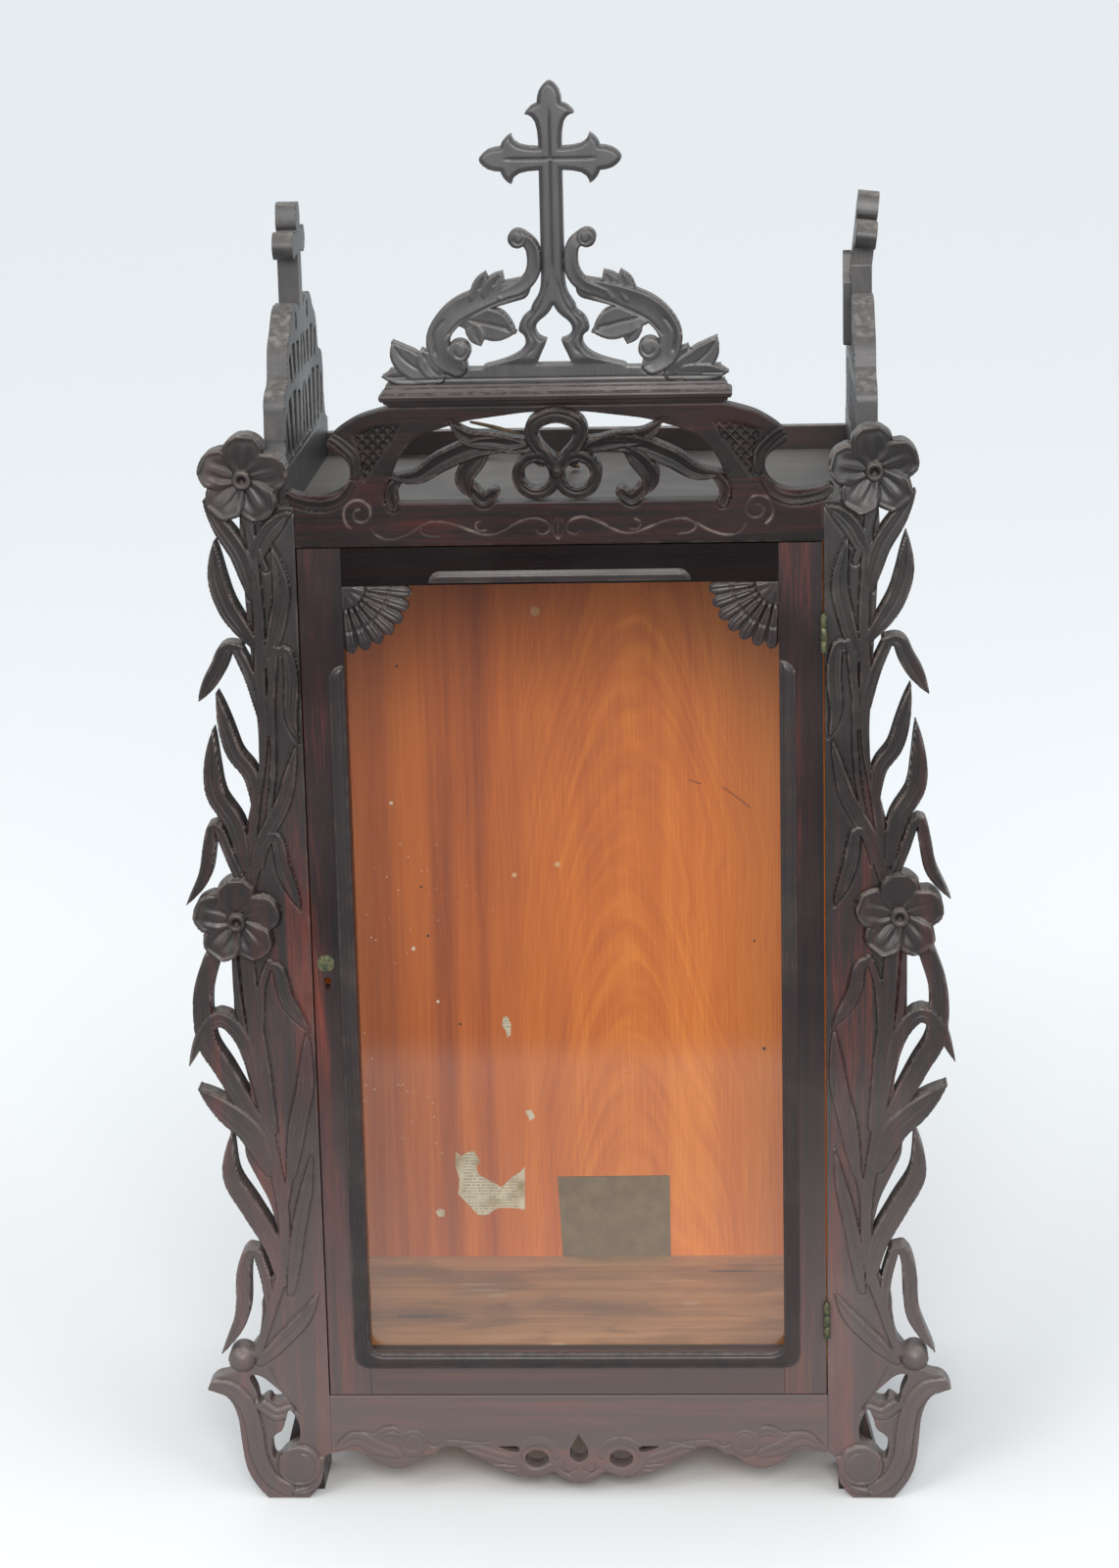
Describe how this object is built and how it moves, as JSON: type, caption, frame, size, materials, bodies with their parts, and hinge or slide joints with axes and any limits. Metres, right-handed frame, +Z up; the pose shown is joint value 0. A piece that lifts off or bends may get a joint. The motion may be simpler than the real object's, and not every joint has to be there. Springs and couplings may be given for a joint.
{
  "type": "wooden house shrine",
  "caption": "Carved wooden house shrine: a glazed cupboard on scroll feet with leafy pierced side wings, an openwork arched frieze and a cross crest.",
  "frame": {"origin": "centre of the object's outline box, on the floor under the feet", "axes": "+Z up, -Y towards the front with the door, +X to the right of someone facing the front"},
  "size_m": [0.7256, 0.414, 1.3595],
  "materials": {
    "dark_wood": "waxed dark red-brown wood with a worn grey sheen",
    "top_wood": "dusty grey-brown wood",
    "panel_wood": "orange-brown straight-grained wood, dry and spotted",
    "glass": "clear window glass, slightly dusty",
    "dull_brass": "dull greenish brass",
    "dark_iron": "dark worn iron",
    "paper": "yellowed torn paper",
    "card": "olive-brown card"
  },
  "bodies": {
    "cabinet": {"back_panel": "panel_wood", "left_side_panel": "dark_wood", "right_side_panel": "dark_wood", "top_board": "top_wood", "floor_board": "panel_wood", "back_top_rail": "dark_wood", "left_front_post": "dark_wood", "right_front_post": "dark_wood", "apron_rail": "dark_wood", "arched_frieze": "dark_wood", "cornice_moulding": "dark_wood", "cross_crest": "dark_wood", "left_side_crest": "dark_wood", "right_side_crest": "dark_wood", "upper_hinge_post_leaf": "dark_iron", "upper_hinge_pin": "dark_iron", "lower_hinge_post_leaf": "dark_iron", "lower_hinge_pin": "dark_iron", "paper_remnant": "paper", "brown_card": "card"},
    "door": {"door_lock_stile": "dark_wood", "door_hinge_stile": "dark_wood", "door_top_rail": "dark_wood", "door_bottom_rail": "dark_wood", "door_bead_surround": "dark_wood", "door_bead_top": "dark_wood", "left_corner_fan": "dark_wood", "right_corner_fan": "dark_wood", "glass_pane": "glass", "brass_stud": "dull_brass", "upper_hinge_door_leaf": "dark_iron", "lower_hinge_door_leaf": "dark_iron"}
  },
  "joints": [
    {"name": "door_hinge", "type": "hinge", "parent": "cabinet", "child": "door", "pos_m": [0.24075, -0.1965, 0.5], "axis": [0, 0, 1], "range_deg": [0, 150]}
  ]
}
